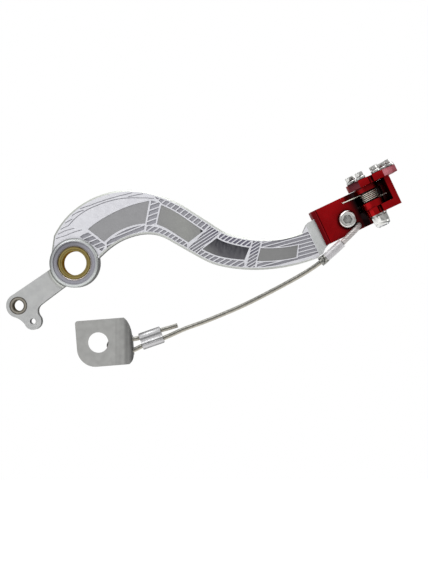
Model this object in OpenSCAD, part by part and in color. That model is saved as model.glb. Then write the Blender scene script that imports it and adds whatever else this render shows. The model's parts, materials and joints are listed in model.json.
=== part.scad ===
// Rear brake pedal with a folding toe, a safety rope and its frame tab.
// X runs from the pivot towards the toe, Z is up, and the outboard face looks along -Y.
// The origin is the centre of the pivot bore.

/* [Pivot boss] */
// Outer diameter of the pivot boss
boss_d = 37.2; // [34:0.2:42]
// Length of the pivot boss along its bore
boss_len = 20; // [18:1:28]
// Width of the raised rim round the boss face
boss_rim = 2.6; // [2:0.2:4]
// Depth of the turned step inside the rim
boss_step = 1.2; // [0.6:0.2:2]
// Outer diameter of the bronze pivot bush
bush_d = 25; // [23:0.5:27]
// Bore of the pivot bush
bush_bore = 18.4; // [16:0.2:20]
// Chamfer at each end of the bush seat
bush_chamfer = 0.7; // [0.4:0.1:1]

/* [Arm] */
// Thickness of the arm between its two faces
arm_thick = 15; // [13:0.5:17]
// Bevel along the arm's edges
arm_bevel = 1.3; // [0.8:0.1:1.8]
// Direction in which the arm leaves the pivot, in degrees above X
arm_start_angle = 75.6; // [74:0.2:77]
// Radius of the crest's centreline
crest_r = 56.2; // [54:0.2:58]
// Angle that the crest turns through
crest_turn = 106.8; // [105:0.2:108]
// Length of the straight fall after the crest
fall_len = 29.9; // [26:0.1:34]
// Radius of the dip's centreline
dip_r = 42.2; // [40:0.2:46]
// Angle that the dip turns through
dip_turn = 17.6; // [16:0.2:19]
// Radius of the belly's centreline
belly_r = 110; // [105:1:115]
// Angle that the belly turns through
belly_turn = 35.7; // [34:0.1:37]
// Width of the arm at its root in the boss
arm_w_root = 34.2; // [32:0.2:36]
// Width of the arm at its shoulder
arm_w_shoulder = 39.4; // [37:0.2:41]
// Width of the arm at its crest
arm_w_crest = 36.6; // [34:0.2:38]
// Width of the arm on its fall
arm_w_fall = 29; // [27:0.2:31]
// Width of the arm at its dip
arm_w_dip = 26.8; // [25:0.2:29]
// Width of the arm at its waist
arm_w_waist = 24.6; // [23:0.2:26]
// Width of the arm at its belly
arm_w_belly = 22.6; // [21:0.2:24]
// Width of the arm at its tip
arm_w_tip = 22; // [21:0.2:24]

/* [Relief] */
// Depth of the fields between the ribs
field_depth = 0.9; // [0.6:0.1:1.2]
// Depth of the four smooth panels
panel_depth = 0.5; // [0.3:0.1:0.6]
// Depth and width of the fine grooves on the shoulder
groove = 0.7; // [0.6:0.05:0.8]
// Width of the ribs between two cuts
rib = 0.9; // [0.7:0.1:1.2]
// Width of the fine ribs
fine_rib = 0.7; // [0.5:0.1:0.9]
// Plain rim left beside the arm's edges
relief_rim = 2; // [1.6:0.1:2.6]
// Slope of the ribs, in degrees above X
rib_angle = 26; // [18:1:32]
// Distance from one rib to the next
rib_pitch = 3.7; // [3:0.1:4.5]
// Distance from one fine rib to the next
fine_pitch = 2.1; // [1.8:0.1:2.6]

/* [Clevis lug] */
// Thickness of the lug
lug_thick = 10; // [8:0.5:12]
// How far behind the pivot the clevis hole lies
clevis_x = 42.8; // [38:0.2:46]
// How far below the pivot the clevis hole lies
clevis_z = 32.3; // [29:0.1:35]
// Outer radius of the lug round the clevis hole
clevis_r = 9.3; // [8.6:0.1:10.5]
// Outer diameter of the steel clevis bush
clevis_bush_d = 13.6; // [12:0.2:14]
// Bore of the clevis bush
clevis_bore = 8.2; // [6:0.1:9]
// How far behind the pivot the spring hole lies
spring_x = 31.8; // [30:0.2:33]
// How far below the pivot the spring hole lies
spring_z = 44.2; // [43:0.2:46]
// Outer radius of the lobe round the spring hole
lobe_r = 6.5; // [5.5:0.1:7]
// Diameter of the return spring's hole
spring_hole_d = 4.4; // [3.5:0.1:5.5]
// Radius of the hollow corner above the lobe
lug_fillet = 6; // [5:0.2:7]
// Radius of the hollow edge below the clevis hole
under_fillet = 14; // [12:0.5:18]
// Radius of the fillet between boss and lug
boss_fillet = 3.5; // [2:0.5:4.5]

/* [Head bracket] */
// Tilt of the folding head, in degrees above X
head_tilt = 25.3; // [20:0.1:30]
// Height of the bracket
bracket_h = 27.7; // [27:0.1:29]
// How far the bracket's lower edge lies below the arm's tip
bracket_drop = 5; // [4:0.1:6]
// Distance from the arm's tip to the bracket's rear edge
bracket_start = 7.2; // [6:0.1:9]
// Length of the bracket's face plate
bracket_len = 62.8; // [61:0.2:66]
// Thickness of the bracket's face plate
plate_t = 5.5; // [5:0.5:7]
// Thickness of the flange over the arm's pad
flange_t = 5.7; // [5:0.1:6.2]
// How far the flange reaches behind the plate's edge
flange_lip = 0.7; // [0.4:0.1:2]
// Width of the thin step along the plate's rear edge
ledge_w = 3.6; // [3:0.1:5]
// Height of that step
ledge_drop = 2; // [1:0.1:3]
// Distance from the arm's tip to the bracket screw
screw_u = 29.2; // [26:0.1:30]
// Height of the bracket screw above the arm's tip
screw_v = 6.1; // [5:0.1:8]
// Distance from the arm's tip to the rope's hole
rope_hole_u = 35; // [34.6:0.1:36.5]
// How far the rope's hole lies below the arm's tip
rope_hole_drop = 1.6; // [1:0.1:1.8]

/* [Toe pivot] */
// Distance from the arm's tip to the toe's pivot
pivot_u = 51.5; // [50.5:0.1:52.5]
// Distance from the bracket's face out to the toe's pivot
pivot_out = 7; // [6.8:0.1:8]
// Outer radius of the bracket's two ears
ear_r = 8.5; // [8:0.1:9]
// Thickness of the upper ear
ear_top_t = 3.7; // [3:0.1:4.2]
// Thickness of the lower ear
ear_low_t = 5; // [4:0.1:5.5]
// Gap between the two ears
ear_gap = 8.3; // [8:0.1:8.8]
// Diameter of the pivot bolt
bolt_d = 8; // [7.6:0.1:8.4]
// Radial clearance of the pivot bolt in its bores
bolt_clear = 0.05; // [0.02:0.01:0.1]
// Width of the lock nut across its flats
nut_af = 12; // [12:0.5:13]
// Height of the lock nut's hexagon
nut_h = 5.9; // [5:0.1:6.5]
// Height of the lock nut's collar
nut_collar_h = 2.6; // [2:0.1:3]
// Diameter of the thin washer above the nut
washer_d = 13; // [12:0.5:15]
// Thickness of that washer
washer_t = 1; // [0.6:0.1:1.6]
// Wire diameter of the torsion spring
wire_d = 1.2; // [1:0.1:1.4]
// Outer diameter of the torsion spring
coil_d = 13.4; // [12.8:0.1:13.6]
// Turns of the torsion spring
coil_turns = 5; // [4:1:5]
// Wall of the spacer sleeve inside the spring
sleeve_wall = 1.1; // [0.8:0.1:1.2]

/* [Toe] */
// Thickness of the toe's top plate
toe_top_t = 5.2; // [5:0.1:6]
// Thickness of the toe's bottom plate
toe_low_t = 5.6; // [5:0.1:6]
// Thickness of the toe's front wall
toe_wall_t = 4.2; // [4:0.1:5]
// Distance from the pivot to the front wall's inner face
toe_wall_u = 13.5; // [13:0.1:14]
// How far the top plate reaches behind the pivot
toe_back = 14.9; // [12:0.1:16]
// How far the top plate reaches before the pivot
toe_front = 23.6; // [20:0.1:25]
// How far the top plate reaches outboard of the bracket's face
toe_reach = 37; // [34:0.5:42]
// Width of the top plate's outboard edge
toe_edge_w = 19.3; // [16:0.1:22]
// Distance from the pivot to the middle of that edge
toe_edge_u = 2; // [0:0.1:3]
// How far the bottom plate reaches outboard of the bracket's face
toe_low_reach = 17; // [16.5:0.5:20]
// How far the bottom plate reaches behind the pivot
toe_low_back = 6.4; // [5.5:0.1:7]
// Width of the notches in the two plates' outboard edges
notch_w = 3.4; // [2.5:0.1:4.5]
// Gap between the toe and the bracket's face
toe_gap = 0.3; // [0.2:0.05:0.4]
// Gap between the toe's two plates and the bracket's ears
toe_slip = 0.1; // [0.05:0.05:0.2]

/* [Studs] */
// Width across the flats of a stud's hexagon
stud_af = 5.8; // [5:0.1:6]
// Height of a stud's hexagon
stud_hex_h = 2.8; // [2.4:0.1:4]
// Height of the neck between a stud's collar and its hexagon
stud_neck_h = 0.5; // [0.4:0.1:0.8]
// Diameter of a stud's collar
stud_collar_d = 7; // [6:0.1:7.4]
// Height of a stud's collar
stud_collar_h = 2.3; // [1.5:0.1:3]
// Diameter of a stud's shank
stud_shank_d = 4; // [3:0.5:5]

/* [Bracket screw] */
// Diameter of the screw's head
screw_head_d = 13; // [12.5:0.1:14]
// Height of the screw's head
screw_head_h = 8; // [6:0.5:8]
// Shank diameter of the screw
screw_d = 8; // [7:0.5:8]
// Width across the flats of the hexagon sockets
socket_af = 6; // [5:0.1:6.5]

/* [Rope and tab] */
// Diameter of the coated steel rope
rope_d = 3.5; // [3:0.1:4]
// Diameter of the clear sleeve on the rope's upper end
clear_d = 4.6; // [4.2:0.1:5.2]
// Diameter of the crimped sleeve
crimp_d = 6.6; // [6:0.1:7.2]
// Diameter of one barrel of the double ferrule
ferrule_d = 6.5; // [6:0.1:7]
// Length of the double ferrule
ferrule_len = 17; // [14:0.5:18]
// Thickness of the tab's sheet
tab_t = 2.5; // [2:0.1:3]
// Diameter of the tab's fixing hole
tab_hole_d = 15.5; // [14:0.5:16.5]
// Width of the tab from its rear edge to its bend
tab_w = 42; // [41:0.2:43]
// Height of the tab
tab_h = 35.6; // [34:0.2:37]
// Depth of the tab's flange
tab_flange = 17; // [15:0.5:19]
// Outer radius of the tab's bend
tab_bend_r = 8; // [6:0.5:9]
// Turn of the tab in the plane of the arm, in degrees
tab_turn = 4.5; // [3:0.5:6]

/* [Hidden] */
$fn = 48;
stud_count = 6;

silver = [0.80, 0.80, 0.82];
steel = [0.86, 0.86, 0.85];
bronze = [0.62, 0.52, 0.30];
red = [0.62, 0.04, 0.07];
eps = 0.01;

// The arm's centreline is a walk of arcs and one straight
arm_half = arm_thick / 2;
arm_origin = [-6, -3.9, arm_start_angle];
arm_path = [
  [-1 / crest_r, crest_r * crest_turn * PI / 180],
  [0, fall_len],
  [1 / dip_r, dip_r * dip_turn * PI / 180],
  [1 / belly_r, belly_r * belly_turn * PI / 180]
];
arm_len = arm_path[0][1] + arm_path[1][1] + arm_path[2][1] + arm_path[3][1];
arm_widths = [
  arm_w_root, arm_w_shoulder, arm_w_crest, arm_w_fall,
  arm_w_dip, arm_w_waist, arm_w_belly, arm_w_tip
];

// Where a walk of one arc or straight ends, as [x, z, heading]
function stride(p, bend, s) = bend == 0
  ? [p[0] + s * cos(p[2]), p[1] + s * sin(p[2]), p[2]]
  : let (h = p[2] + bend * s * 180 / PI)
    [p[0] + (sin(h) - sin(p[2])) / bend, p[1] - (cos(h) - cos(p[2])) / bend, h];
function walk(p, s, i = 0) = s <= arm_path[i][1] || i == len(arm_path) - 1
  ? stride(p, arm_path[i][0], s)
  : walk(stride(p, arm_path[i][0], arm_path[i][1]), s - arm_path[i][1], i + 1);

// Half the arm's width at a distance along it, smoothed between its stations
function smooth(a, b, c, d, u) = 0.5 * (2 * b + (c - a) * u
  + (2 * a - 5 * b + 4 * c - d) * u * u + (3 * b - a - 3 * c + d) * u * u * u);
function half_width(s) =
  let (last = len(arm_widths) - 1, f = s / arm_len * last, i = min(floor(f), last - 1))
  smooth(arm_widths[max(i - 1, 0)], arm_widths[i], arm_widths[i + 1],
    arm_widths[min(i + 2, last)], f - i) / 2;

// A point of the arm: s along its centreline, off millimetres to its upper side
function arm_point(s, off) = let (p = walk(arm_origin, s))
  [p[0] - off * sin(p[2]), p[1] + off * cos(p[2])];
// A point of the relief: s from 0 to field_len along the arm, t from -1 to 1 across its field
field_len = 216;
function field_point(s, t) = let (at = s * arm_len / field_len)
  arm_point(at, t * (half_width(at) - relief_rim));
tip = walk(arm_origin, arm_len);

// Heights in the head's own frame, from the arm's tip along the head's own up
bracket_low = -bracket_drop;
bracket_top = bracket_low + bracket_h;
pad_top = bracket_top - flange_t;
face_w = arm_half + plate_t;
pivot_w = face_w + pivot_out;
ear_top_low = bracket_top - ear_top_t;
ear_low_top = ear_top_low - ear_gap;
ear_low_low = ear_low_top - ear_low_t;
toe_top_low = bracket_top + toe_slip;
toe_top = toe_top_low + toe_top_t;
toe_low_top = ear_low_low - toe_slip;
toe_low = toe_low_top - toe_low_t;
nut_top = toe_low - washer_t;
nut_low = nut_top - nut_h - nut_collar_h;
bracket_end = bracket_start + bracket_len;
pad_end = rope_hole_u + 3;
heel_w = 4;
bolt_r = bolt_d / 2;
coil_r = (coil_d - wire_d) / 2;
stop_w = face_w + toe_gap;
rope_clear = 0.3;
rope_hole = [rope_hole_u, -rope_hole_drop];
stop_len = 3.6;

// Placing helpers
module front(w, h) {
  translate([0, -w, 0]) rotate([90, 0, 0]) linear_extrude(h) children();
}
module head() {
  translate([tip[0], 0, tip[1]]) rotate([0, -head_tilt, 0]) children();
}
module at_pivot(v) {
  translate([pivot_u, -pivot_w, v]) children();
}

// Lever arm

// One cross-section of the arm, as points [x, y, z] round its bevelled outline
function arm_ring(a, b) =
  let (c = arm_bevel, w = arm_half, d = (a - b) / norm(a - b) * c)
  [
    [a[0], -w + c, a[1]], [a[0] - d[0], -w, a[1] - d[1]],
    [b[0] + d[0], -w, b[1] + d[1]], [b[0], -w + c, b[1]],
    [b[0], w - c, b[1]], [b[0] + d[0], w, b[1] + d[1]],
    [a[0] - d[0], w, a[1] - d[1]], [a[0], w - c, a[1]]
  ];
// Faces of a closed loft through rings of n points
function loft_faces(rings, n) = concat(
  [[for (i = [0:n - 1]) i]],
  [[for (i = [n - 1:-1:0]) (rings - 1) * n + i]],
  [for (k = [0:rings - 2], i = [0:n - 1])
    let (j = (i + 1) % n)
    [k * n + i, (k + 1) * n + i, (k + 1) * n + j, k * n + j]]
);
arm_steps = 54;
arm_root_s = 16.5;
function arm_rings() = concat(
  [arm_ring([-boss_d / 2 + 0.1, 0], [boss_d / 2 - 0.1, 0])],
  [for (k = [0:arm_steps])
    let (s = arm_root_s + (arm_len - arm_root_s) * k / arm_steps)
    arm_ring(arm_point(s, half_width(s)), arm_point(s, -half_width(s)))]
);
module arm_band() {
  rings = arm_rings();
  polyhedron([for (r = rings, p = r) p], loft_faces(len(rings), 8));
}

// The end pad that the bracket seats on, in the head's frame
module arm_pad() {
  heel = arm_w_tip / 2;
  outline = [
    [-6, -heel + 0.4], [2.5, -heel + 1.6], [bracket_start - 1.5, bracket_low - 1.6],
    [bracket_start + 3, bracket_low + 0.4], [pad_end, bracket_low + 0.4],
    [pad_end, pad_top - toe_gap], [3, pad_top - toe_gap],
    [0.6, pad_top - 1.2], [-5.6, 10.6], [-12, 4]
  ];
  head() front(-arm_half, arm_thick) polygon(outline);
}

// The lug behind the boss, with a clevis end and a lobe for the return spring
clevis_at = [-clevis_x, -clevis_z];
spring_at = [-spring_x, -spring_z];
function unit(v) = v / norm(v);
function normal(v) = [-v[1], v[0]] / norm(v);
// Where circles of two radii round a and b meet, on the side that side gives
function meet(a, ra, b, rb, side) =
  let (d = norm(b - a), x = (ra * ra - rb * rb + d * d) / (2 * d), y = sqrt(ra * ra - x * x))
  a + unit(b - a) * x + normal(b - a) * y * side;
lug_upper = 6.6;
// How far outlines that meet smoothly overlap
blend = 0.05;
lug_lower = 9.7;
lug_side = -normal(clevis_at);
module lug_outline() {
  lower_at = -lug_side * lug_lower;
  corner = let (
      base = lower_at - lug_side * lug_fillet,
      dir = unit(clevis_at),
      q = spring_at - base,
      along = q * dir,
      reach = lobe_r + lug_fillet - blend,
      gap = norm(q - dir * along)
    ) base + dir * (along - sqrt(reach * reach - gap * gap));
  under = meet(clevis_at, clevis_r + under_fillet - blend,
    spring_at, lobe_r + under_fillet - blend, -1);
  polygon([
    lug_side * lug_upper, clevis_at + lug_side * (clevis_r - blend),
    clevis_at, clevis_at - lug_side * lug_lower, lower_at
  ]);
  translate(clevis_at) circle(clevis_r);
  translate(spring_at) circle(lobe_r);
  difference() {
    polygon([clevis_at, under, spring_at, corner, corner + lug_side * (lug_fillet + 1)]);
    translate(under) circle(under_fillet);
    translate(corner) circle(lug_fillet);
  }
}
module lug() {
  front(-lug_thick / 2, lug_thick) lug_outline();
  for (side = [0, 1]) mirror([0, side, 0]) intersection() {
    front(lug_thick / 2 - eps, boss_fillet) intersection() {
      lug_outline();
      circle(boss_d);
    }
    translate([0, -lug_thick / 2, 0]) rotate([90, 0, 0]) rotate_extrude() difference() {
      square([boss_d / 2 + boss_fillet, boss_fillet]);
      translate([boss_d / 2 + boss_fillet, boss_fillet]) circle(boss_fillet);
    }
  }
}

// A panel or field between four corners [s, t], with its upper edge bowed
function lerp(a, b, u) = a + (b - a) * u;
function patch(ul, ur, lr, ll, bow = 1, steps = 8) = concat(
  [for (k = [0:steps]) let (u = k / steps)
    field_point(lerp(ul[0], ur[0], u), lerp(ul[1], ur[1], pow(u, bow)))],
  [for (k = [0:steps]) let (u = k / steps)
    field_point(lerp(lr[0], ll[0], u), lerp(lr[1], ll[1], u))]
);
// Slanted bars that fill a field, one pitch apart, with ribs left between them
module hatch(points, angle = rib_angle, pitch = rib_pitch, left = rib) {
  intersection() {
    polygon(points);
    local_bars(points, angle, pitch, pitch - left);
  }
}
module fine_hatch(points, angle) {
  hatch(points, angle, fine_pitch, fine_rib);
}
// Only the bars that can reach the field
module local_bars(points, angle, pitch, bar) {
  lows = [for (p = points) p[1] * cos(angle) - p[0] * sin(angle)];
  sides = [for (p = points) p[0] * cos(angle) + p[1] * sin(angle)];
  for (k = [floor(min(lows) / pitch) - 1:ceil(max(lows) / pitch)])
    rotate(angle) translate([min(sides) - 2, k * pitch])
      square([max(sides) - min(sides) + 4, bar]);
}

panel_1 = patch([33.7, 0.10], [81.3, 0.68], [80.3, -0.57], [37.5, -0.76], 2.6);
panel_2 = patch([89.5, 0.63], [125, 0.48], [119.8, -0.68], [90.4, -0.55]);
panel_3 = patch([136.7, 0.55], [165, 0.47], [162.1, -0.48], [131.5, -0.60]);
panel_4 = patch([173.9, 0.49], [203.3, 0.34], [199.8, -0.61], [171.4, -0.53]);
module panels() {
  polygon(panel_1);
  polygon(panel_2);
  polygon(panel_3);
  polygon(panel_4);
}
module fields() {
  // Bars between the boss and the first panel
  difference() {
    hatch(patch([25.5, 0.12], [32.2, 0.02], [36.5, -0.92], [29.5, -1.0]), 22);
    circle(boss_d / 2 + 0.6);
  }
  // Thin field under the first panel
  hatch(patch([39, -0.86], [80, -0.66], [80, -1.0], [36, -1.04]), 22);
  // Ladder between the first and the second panel
  hatch(patch([82.6, 0.72], [88.3, 0.72], [89.2, -0.60], [81.6, -0.66]), 20);
  // Teeth along the second panel
  hatch(patch([84, 0.98], [126, 1.0], [125, 0.57], [90, 0.71]), 40);
  hatch(patch([82, -0.70], [119, -0.77], [121, -1.02], [82, -1.02]), 36, 3.1);
  // Fine ribs between the second and the third panel
  fine_hatch(patch([127.4, 1.0], [137, 1.0], [129.2, -1.02], [122, -1.02]), 33);
  // Teeth along the third panel
  hatch(patch([138.2, 1.0], [166.4, 1.0], [165.4, 0.56], [138, 0.65]), 36, 2.6);
  hatch(patch([131, -0.70], [162, -0.58], [162.6, -1.02], [130.4, -1.02]), 30, 3);
  // Fine ribs between the third and the fourth panel
  fine_hatch(patch([167.6, 1.0], [174, 1.0], [169.6, -1.02], [163.8, -1.02]), 31);
  // Long ribs round the fourth panel and on to the pad
  difference() {
    hatch(patch([175.4, 1.0], [214.4, 1.14], [215.8, -0.82], [171, -1.02]), 15, 2.75, 0.8);
    polygon(patch([172.9, 0.57], [204.4, 0.42], [200.8, -0.69], [168, -0.61]));
  }
}
// Fine grooves on the shoulder, each through some points [s, t]
shoulder_lines = [
  [[21.6, 0.98], [26.3, 0.80], [31.5, 0.80], [38.8, 0.79], [48, 0.74], [58, 0.73],
    [67, 0.73], [75, 0.75], [84, 0.86]],
  [[38.3, 0.98], [44.4, 0.87], [51.8, 0.83], [59, 0.84], [66.3, 0.9], [70.6, 0.99]],
  [[68, 0.79], [72, 0.86], [77, 0.99]],
  [[31.8, 0.98], [35.6, 0.93], [39.4, 0.85]],
  [[26, 0.98], [30.6, 0.87]],
  [[18.3, 0.98], [23, 0.76], [27.4, 0.53]],
  [[15.4, 0.97], [20.5, 0.64], [30.2, 0.25]]
];
function filled(line, steps = 3) = concat(
  [for (i = [0:len(line) - 2], k = [0:steps - 1]) line[i] + (line[i + 1] - line[i]) * k / steps],
  [line[len(line) - 1]]
);
module shoulder_grooves() {
  half = groove / (arm_w_shoulder - 2 * relief_rim);
  for (corners = shoulder_lines) {
    line = filled(corners);
    polygon(concat(
      [for (p = line) field_point(p[0], p[1] + half)],
      [for (i = [len(line) - 1:-1:0]) field_point(line[i][0], line[i][1] - half)]
    ));
  }
}

module lever_arm() color(silver) difference() {
  union() {
    difference() {
      union() {
        arm_band();
        arm_pad();
      }
      front(arm_half - panel_depth, 2) panels();
      front(arm_half - field_depth, 2) fields();
      front(arm_half - groove, 2) shoulder_grooves();
    }
    front(-boss_len / 2, boss_len) circle(boss_d / 2);
    lug();
  }
  front(-boss_len / 2 - 1, boss_len + 2) circle(bush_d / 2);
  for (side = [0, 1]) mirror([0, side, 0]) {
    front(boss_len / 2 - boss_step, boss_len) circle(boss_d / 2 - boss_rim);
    translate([0, -boss_len / 2 + boss_step + bush_chamfer, 0]) rotate([90, 0, 0])
      cylinder(h = bush_chamfer + eps, r1 = bush_d / 2, r2 = bush_d / 2 + bush_chamfer);
  }
  front(-lug_thick, 2 * lug_thick) translate(clevis_at) circle(clevis_bush_d / 2);
  front(-lug_thick, 2 * lug_thick) translate(spring_at) circle(spring_hole_d / 2);
  head() front(-arm_thick, 2 * arm_thick) {
    translate([screw_u, screw_v]) circle(screw_d / 2);
    translate(rope_hole) circle(rope_d / 2 + rope_clear);
  }
}

module ring(outer, inner) {
  difference() {
    circle(outer);
    circle(inner);
  }
}

module pivot_bush() color(bronze) {
  len = boss_len - 2 * boss_step - 2 * bush_chamfer;
  front(-len / 2, len) ring(bush_d / 2, bush_bore / 2);
}

module clevis_bush() color(steel)
  front(-lug_thick / 2, lug_thick) translate(clevis_at)
    ring(clevis_bush_d / 2, clevis_bore / 2);

// Head bracket

module bracket_plate_outline() {
  polygon([
    [bracket_start, bracket_low], [pivot_u - 3, bracket_low],
    [pivot_u + 6, ear_low_low - 3], [bracket_end, ear_low_low + 2],
    [bracket_end, bracket_top],
    [bracket_start, bracket_top]
  ]);
}
// An ear in plan: a round end about the pivot, with a hollow fillet from the plate
module ear_plan() {
  left = pivot_u - ear_r;
  r = pivot_out - 0.5;
  translate([pivot_u, -pivot_w]) circle(ear_r);
  translate([left, -pivot_w]) square([2 * ear_r, pivot_out + 1]);
  difference() {
    translate([left - r, -face_w - r]) square([r + eps, r + 1]);
    translate([left - r, -face_w - r]) circle(r);
  }
}
module head_bracket() color(red) head() difference() {
  union() {
    front(arm_half, plate_t) bracket_plate_outline();
    front(-heel_w, arm_half + heel_w + eps) intersection() {
      bracket_plate_outline();
      translate([pad_end + toe_gap, bracket_low]) square([bracket_len, bracket_h]);
    }
    translate([bracket_start - flange_lip, -face_w, pad_top])
      cube([pad_end + 4 - bracket_start + flange_lip, face_w + arm_half, flange_t]);
    translate([0, 0, ear_top_low]) linear_extrude(ear_top_t) ear_plan();
    translate([0, 0, ear_low_low]) linear_extrude(ear_low_t) ear_plan();
  }
  // The thin step along the rear edge, with a hollow corner
  translate([bracket_start - flange_lip - 1, -face_w - 1, bracket_low - 1])
    cube([ledge_w - ledge_drop + flange_lip + 1, ledge_drop + 1, bracket_h + 2]);
  translate([bracket_start + ledge_w - ledge_drop, -face_w, bracket_low - 1])
    cylinder(h = bracket_h + 2, r = ledge_drop);
  // Room for the spring between the ears, and for the toe's hub below them
  at_pivot(ear_low_top) cylinder(h = ear_gap, r = ear_r + 4.5);
  at_pivot(bracket_low - 1)
    cylinder(h = ear_low_low - bracket_low + 1, r = ear_r + 0.5);
  at_pivot(bracket_low - 1) cylinder(h = bracket_h + 2, r = bolt_r + bolt_clear);
  // Screw hole and the seat of its head
  front(0, 2 * face_w) translate([screw_u, screw_v]) circle(screw_d / 2 + 0.25);
  front(face_w - 2, 4) translate([screw_u, screw_v]) circle(screw_head_d / 2 + 0.6);
  front(0, 2 * face_w) translate(rope_hole) circle(clear_d / 2 + rope_clear);
}

module hex_socket(depth) {
  cylinder(h = depth, r = socket_af / sqrt(3), $fn = 6);
}

module bracket_screw() color(steel) head()
  translate([screw_u, -face_w + 2, screw_v]) rotate([90, 0, 0]) difference() {
    union() {
      cylinder(h = screw_head_h - 0.8, r = screw_head_d / 2);
      translate([0, 0, screw_head_h - 0.8])
        cylinder(h = 0.8, r1 = screw_head_d / 2, r2 = screw_head_d / 2 - 0.8);
      translate([0, 0, -arm_thick - plate_t + 3]) cylinder(h = arm_thick + plate_t, r = screw_d / 2);
    }
    translate([0, 0, screw_head_h - 4]) rotate(12) hex_socket(5);
  }

// Toe pivot

module toe_bolt() color(steel) head() at_pivot(0) difference() {
  union() {
    translate([0, 0, nut_low - 0.6]) cylinder(h = toe_top - nut_low, r = bolt_r);
    translate([0, 0, toe_top - bolt_r]) cylinder(h = bolt_r, r1 = bolt_r, r2 = 2 * bolt_r - 0.4);
  }
  translate([0, 0, toe_top - 2.6]) cylinder(h = 3, r = (socket_af - 1) / sqrt(3), $fn = 6);
}

module bolt_washer() color(steel) head() at_pivot(nut_top)
  linear_extrude(washer_t) ring(washer_d / 2, bolt_r + bolt_clear);

insert_r = bolt_r + 1;
module lock_nut() color(steel) head() at_pivot(0) difference() {
  union() {
    translate([0, 0, nut_top - nut_h]) rotate(20) intersection() {
      cylinder(h = nut_h, r = nut_af / sqrt(3), $fn = 6);
      cylinder(h = nut_h, r1 = nut_af / 2, r2 = nut_af / 2 + nut_h);
    }
    translate([0, 0, nut_low + 1]) cylinder(h = nut_collar_h, r = nut_af / 2 - 0.3);
    translate([0, 0, nut_low]) cylinder(h = 1, r1 = nut_af / 2 - 1.3, r2 = nut_af / 2 - 0.3);
  }
  translate([0, 0, nut_low - 1]) cylinder(h = nut_h + 6, r = bolt_r);
  translate([0, 0, nut_low - 1]) cylinder(h = 3, r = insert_r);
}
module nut_insert() color([0.2, 0.35, 0.75]) head() at_pivot(nut_low + 0.2)
  linear_extrude(1.8) ring(insert_r, bolt_r);

module spring_sleeve() color(steel) head() at_pivot(ear_low_top + 0.05)
  linear_extrude(ear_gap - 0.1)
    ring(bolt_r + bolt_clear + sleeve_wall, bolt_r + bolt_clear);

// A tube swept along points: rings of sides points square to the path
function cross_of(a, b) = [a[1] * b[2] - a[2] * b[1], a[2] * b[0] - a[0] * b[2], a[0] * b[1] - a[1] * b[0]];
function along(path, i) = unit(path[min(i + 1, len(path) - 1)] - path[max(i - 1, 0)]);
// Carries a side direction along the path without twist
function carried(path, i, side) = i == 0
  ? [side]
  : let (before = carried(path, i - 1, side), last = before[len(before) - 1], t = along(path, i))
    concat(before, [unit(last - t * (last * t))]);
function first_side(path) = let (t = along(path, 0), up = abs(t[1]) < 0.9 ? [0, 1, 0] : [1, 0, 0])
  unit(up - t * (up * t));
module tube(path, r, sides) {
  frames = carried(path, len(path) - 1, first_side(path));
  points = [
    for (i = [0:len(path) - 1])
      let (a = frames[i], b = cross_of(along(path, i), a))
        for (k = [0:sides - 1])
          path[i] + (a * cos(360 * k / sides) + b * sin(360 * k / sides)) * r
  ];
  polyhedron(points, loft_faces(len(path), sides));
}

coil_pitch = wire_d + 0.1;
coil_low = (ear_low_top + ear_top_low - coil_turns * coil_pitch) / 2;
coil_steps = 20;
module torsion_spring() color(steel) head() at_pivot(0) {
  coil = [
    for (k = [0:coil_turns * coil_steps])
      let (a = 90 + 360 * k / coil_steps)
        [coil_r * cos(a), coil_r * sin(a), coil_low + coil_pitch * k / coil_steps]
  ];
  upper = coil[len(coil) - 1];
  lower = coil[0];
  tube(concat(
    [lower + [toe_wall_u - 0.6, -1.2, 0], lower + [7, -0.4, 0], lower + [3.5, -0.1, 0]],
    coil,
    [for (reach = [3.5, 7, 14, 20.5]) upper + [-reach, 0, 0.02 * reach]]
  ), wire_d / 2, 8);
}

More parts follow.
